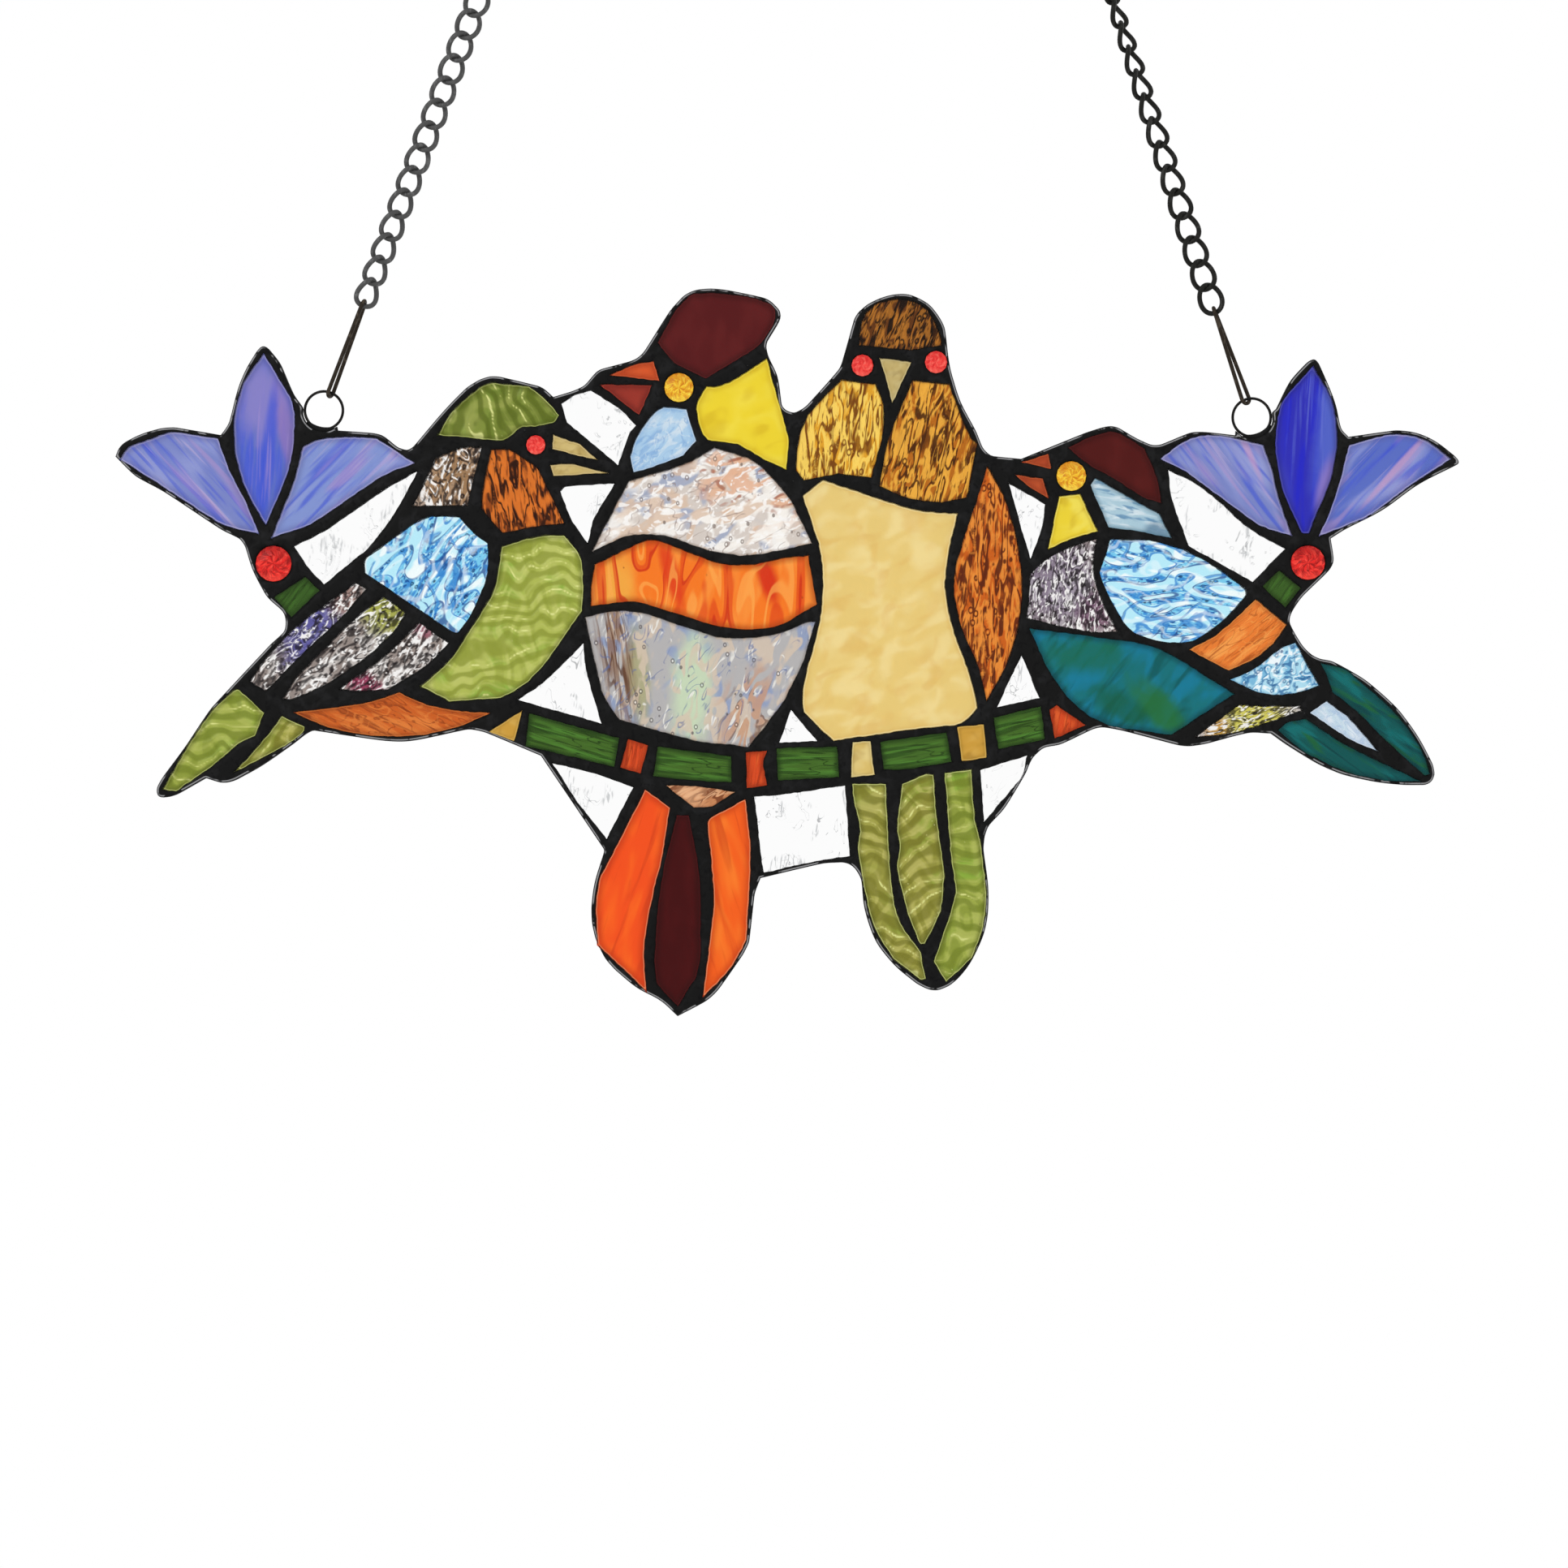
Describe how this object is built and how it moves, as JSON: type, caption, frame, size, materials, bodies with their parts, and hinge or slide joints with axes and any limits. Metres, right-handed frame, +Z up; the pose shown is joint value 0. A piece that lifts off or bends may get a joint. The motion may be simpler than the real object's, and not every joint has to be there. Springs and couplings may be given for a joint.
{
  "type": "stained glass suncatcher",
  "caption": "Flat leaded glass panel of birds perched on a branch between flowers, with hanging rings and chains.",
  "frame": {"origin": "midway between the inner tops of the two end links, which the panel hangs by", "axes": "+X to the viewer's right along the panel, +Y away from the viewer, +Z up; the front faces -Y"},
  "size_m": [0.5293, 0.0098, 0.4146],
  "materials": {
    "petal_1_left": "gloss",
    "petal_1_middle": "gloss",
    "petal_1_right": "gloss",
    "clear_under_petals": "gloss",
    "bird_1_head": "gloss",
    "bird_1_collar": "gloss",
    "bird_1_cheek": "gloss",
    "bird_1_wing": "gloss",
    "bird_1_feather_upper": "gloss",
    "bird_1_feather_middle": "gloss",
    "bird_1_feather_lower": "gloss",
    "bird_1_belly": "gloss",
    "bird_1_underbelly": "gloss",
    "bird_1_tail_upper": "gloss",
    "bird_1_tail_lower": "gloss",
    "clear_over_beak_1": "gloss",
    "clear_under_beak_1": "gloss",
    "clear_by_belly_1": "gloss",
    "bird_2_crest": "gloss",
    "bird_2_throat": "gloss",
    "bird_2_neck": "gloss",
    "bird_2_body_upper": "gloss",
    "bird_2_band": "gloss",
    "bird_2_body_lower": "gloss",
    "bird_2_tail_left": "gloss",
    "bird_2_tail_middle": "gloss",
    "bird_2_tail_right": "gloss",
    "clear_left_of_tail_2": "gloss",
    "clear_between_tails": "gloss",
    "clear_right_of_tail_3": "gloss",
    "bird_3_crown": "gloss",
    "bird_3_shoulder_left": "gloss",
    "bird_3_shoulder_right": "gloss",
    "bird_3_body": "gloss",
    "bird_3_wing": "gloss",
    "bird_3_tail_left": "gloss",
    "bird_3_tail_middle": "gloss",
    "bird_3_tail_right": "gloss",
    "bird_4_crown": "gloss",
    "bird_4_throat": "gloss",
    "bird_4_neck": "gloss",
    "bird_4_shoulder": "gloss",
    "bird_4_wing": "gloss",
    "bird_4_belly": "gloss",
    "bird_4_rump": "gloss",
    "bird_4_flank": "gloss",
    "bird_4_vent": "gloss",
    "bird_4_tail_upper": "gloss",
    "bird_4_tail_lower": "gloss",
    "clear_right_of_bird_4": "gloss",
    "petal_2_left": "gloss",
    "petal_2_middle": "gloss",
    "petal_2_right": "gloss",
    "leading": "satin",
    "wire": "satin",
    "chain": "satin"
  },
  "bodies": {
    "root": {"petal_1_left": "petal_1_left", "petal_1_middle": "petal_1_middle", "petal_1_right": "petal_1_right", "clear_under_petals": "clear_under_petals", "bird_1_head": "bird_1_head", "bird_1_collar": "bird_1_collar", "bird_1_cheek": "bird_1_cheek", "bird_1_wing": "bird_1_wing", "bird_1_feather_upper": "bird_1_feather_upper", "bird_1_feather_middle": "bird_1_feather_middle", "bird_1_feather_lower": "bird_1_feather_lower", "bird_1_belly": "bird_1_belly", "bird_1_underbelly": "bird_1_underbelly", "bird_1_tail_upper": "bird_1_tail_upper", "bird_1_tail_lower": "bird_1_tail_lower", "clear_over_beak_1": "clear_over_beak_1", "clear_under_beak_1": "clear_under_beak_1", "clear_by_belly_1": "clear_by_belly_1", "bird_2_crest": "bird_2_crest", "bird_2_throat": "bird_2_throat", "bird_2_neck": "bird_2_neck", "bird_2_body_upper": "bird_2_body_upper", "bird_2_band": "bird_2_band", "bird_2_body_lower": "bird_2_body_lower", "bird_2_tail_left": "bird_2_tail_left", "bird_2_tail_middle": "bird_2_tail_middle", "bird_2_tail_right": "bird_2_tail_right", "clear_left_of_tail_2": "clear_left_of_tail_2", "clear_between_tails": "clear_between_tails", "clear_right_of_tail_3": "clear_right_of_tail_3", "bird_3_crown": "bird_3_crown", "bird_3_shoulder_left": "bird_3_shoulder_left", "bird_3_shoulder_right": "bird_3_shoulder_right", "bird_3_body": "bird_3_body", "bird_3_wing": "bird_3_wing", "bird_3_tail_left": "bird_3_tail_left", "bird_3_tail_middle": "bird_3_tail_middle", "bird_3_tail_right": "bird_3_tail_right", "bird_4_crown": "bird_4_crown", "bird_4_throat": "bird_4_throat", "bird_4_neck": "bird_4_neck", "bird_4_shoulder": "bird_4_shoulder", "bird_4_wing": "bird_4_wing", "bird_4_belly": "bird_4_belly", "bird_4_rump": "bird_4_rump", "bird_4_flank": "bird_4_flank", "bird_4_vent": "bird_4_vent", "bird_4_tail_upper": "bird_4_tail_upper", "bird_4_tail_lower": "bird_4_tail_lower", "clear_right_of_bird_4": "clear_right_of_bird_4", "petal_2_left": "petal_2_left", "petal_2_middle": "petal_2_middle", "petal_2_right": "petal_2_right", "leading": "leading", "ring_left": "wire", "ring_right": "wire", "hook_left": "wire", "hook_right": "wire", "chain_left": "chain", "chain_right": "chain"}
  },
  "joints": []
}
